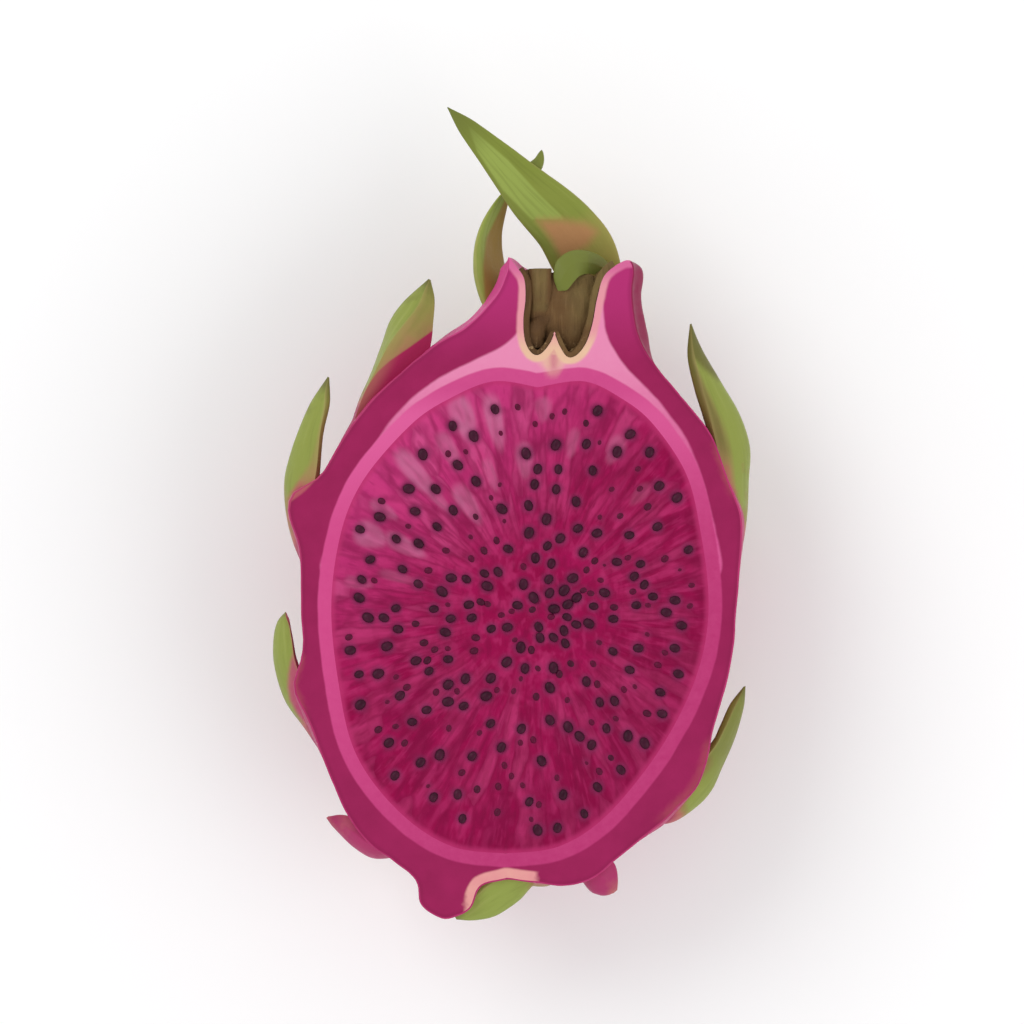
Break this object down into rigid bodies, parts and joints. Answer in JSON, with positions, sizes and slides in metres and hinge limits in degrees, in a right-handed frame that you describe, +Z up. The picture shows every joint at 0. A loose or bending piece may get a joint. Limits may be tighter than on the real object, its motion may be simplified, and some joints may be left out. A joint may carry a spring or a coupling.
{
  "type": "halved dragon fruit",
  "caption": "Ripe red-fleshed dragon fruit cut in half lengthwise, lying cut face up on its round back, with seeded pulp, magenta peel, green-tipped scales and a dry flower pit.",
  "frame": {"origin": "point on the flat spot under the round back, straight below the middle of the pulp", "axes": "+Z up, square to the cut face; +Y along the fruit from the stem end to the blossom end; +X to the right as seen from above"},
  "size_m": [0.0864, 0.1502, 0.0385],
  "materials": {
    "peel": "waxy smooth fruit skin, magenta, with a moist cut edge that pales towards the blossom end",
    "pulp": "wet juicy red-purple flesh with pale radial streaks",
    "seeds": "small black seeds, slightly glossy",
    "dried_flower": "dry papery brown tissue with a cream rim",
    "scales": "waxy leaf-like bracts, magenta at the root, olive green at the tip"
  },
  "bodies": {
    "root": {"peel": "peel", "pulp": "pulp", "flower_remnant": "dried_flower", "scale_right_upper": "scales", "scale_right_lower": "scales", "scale_left_upper": "scales", "scale_left_middle": "scales", "scale_left_lower": "scales", "scale_back_neck_right": "scales", "scale_back_neck_middle": "scales", "scale_back_neck_left": "scales", "scale_back_upper_right": "scales", "scale_back_upper_left": "scales", "scale_back_middle_right": "scales", "scale_back_middle_left": "scales", "scale_back_stem_middle": "scales", "scale_back_stem_left": "scales", "crown_leaf_long": "scales", "crown_leaf_side": "scales", "scale_stem_front": "scales", "scale_stem_left": "scales", "scale_stem_right": "scales"}
  },
  "joints": []
}
